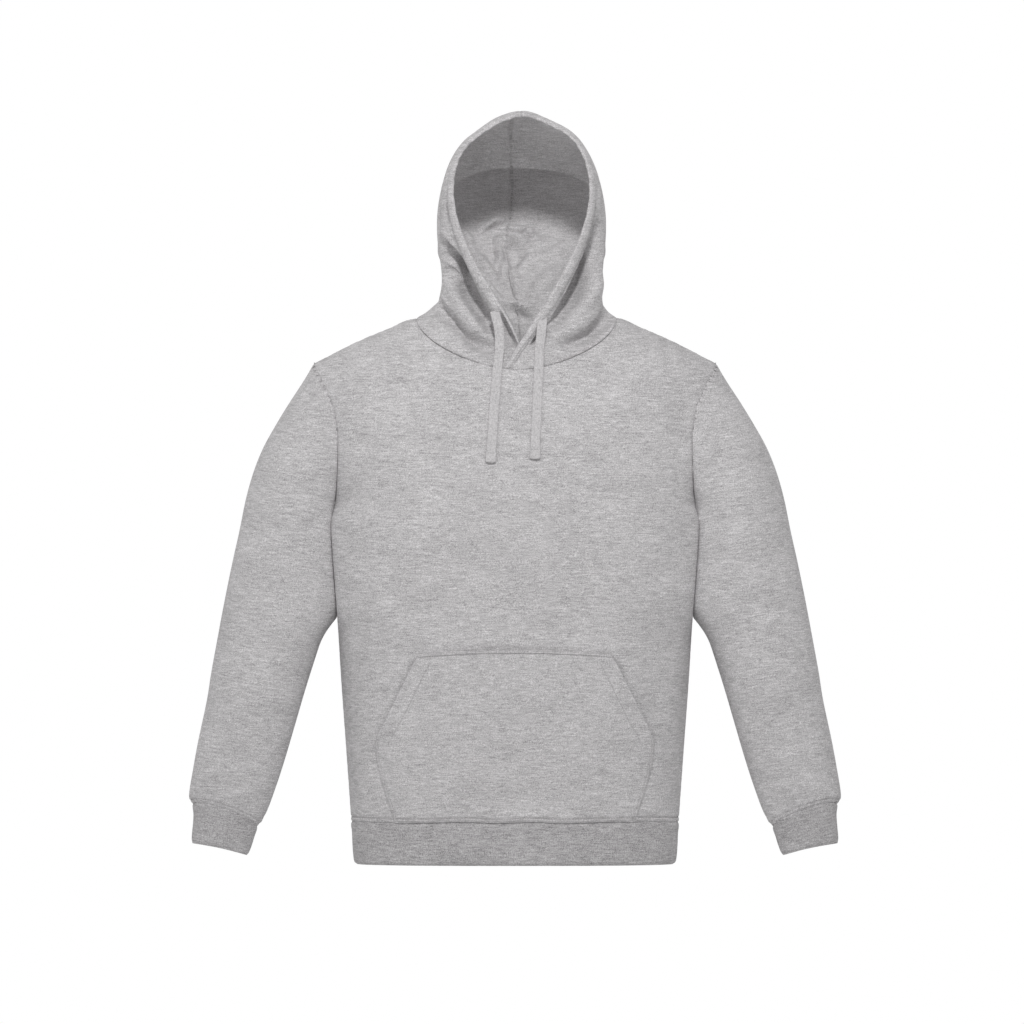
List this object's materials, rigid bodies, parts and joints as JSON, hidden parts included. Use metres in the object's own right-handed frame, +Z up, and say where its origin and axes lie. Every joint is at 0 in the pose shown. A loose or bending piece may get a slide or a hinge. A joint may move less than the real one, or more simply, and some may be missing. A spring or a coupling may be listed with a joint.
{
  "type": "pullover hoodie",
  "caption": "Long-sleeved pullover hoodie of grey heather sweatshirt knit, with a kangaroo pocket, ribbed hem and cuffs, and flat drawcords at the hood",
  "frame": {"origin": "middle of the neck opening, level with the high points of the shoulders, where the wearer holds it up", "axes": "+X to the viewer's right when the front is seen, -Y the front, +Z up"},
  "size_m": [0.8456, 0.2383, 0.9772],
  "materials": {
    "body_knit": "grey heather sweatshirt knit, matt, smooth outside",
    "rib_knit": "grey heather rib knit, matt",
    "cord": "flat woven cord, grey heather, matt"
  },
  "bodies": {
    "root": {"front_panel": "body_knit", "back_panel": "body_knit", "sleeve_left": "body_knit", "sleeve_right": "body_knit", "cuff_left": "rib_knit", "cuff_right": "rib_knit", "hem_band": "rib_knit", "hood_left": "body_knit", "hood_right": "body_knit", "pocket": "body_knit", "drawcord_left": "cord", "drawcord_right": "cord"}
  },
  "joints": []
}
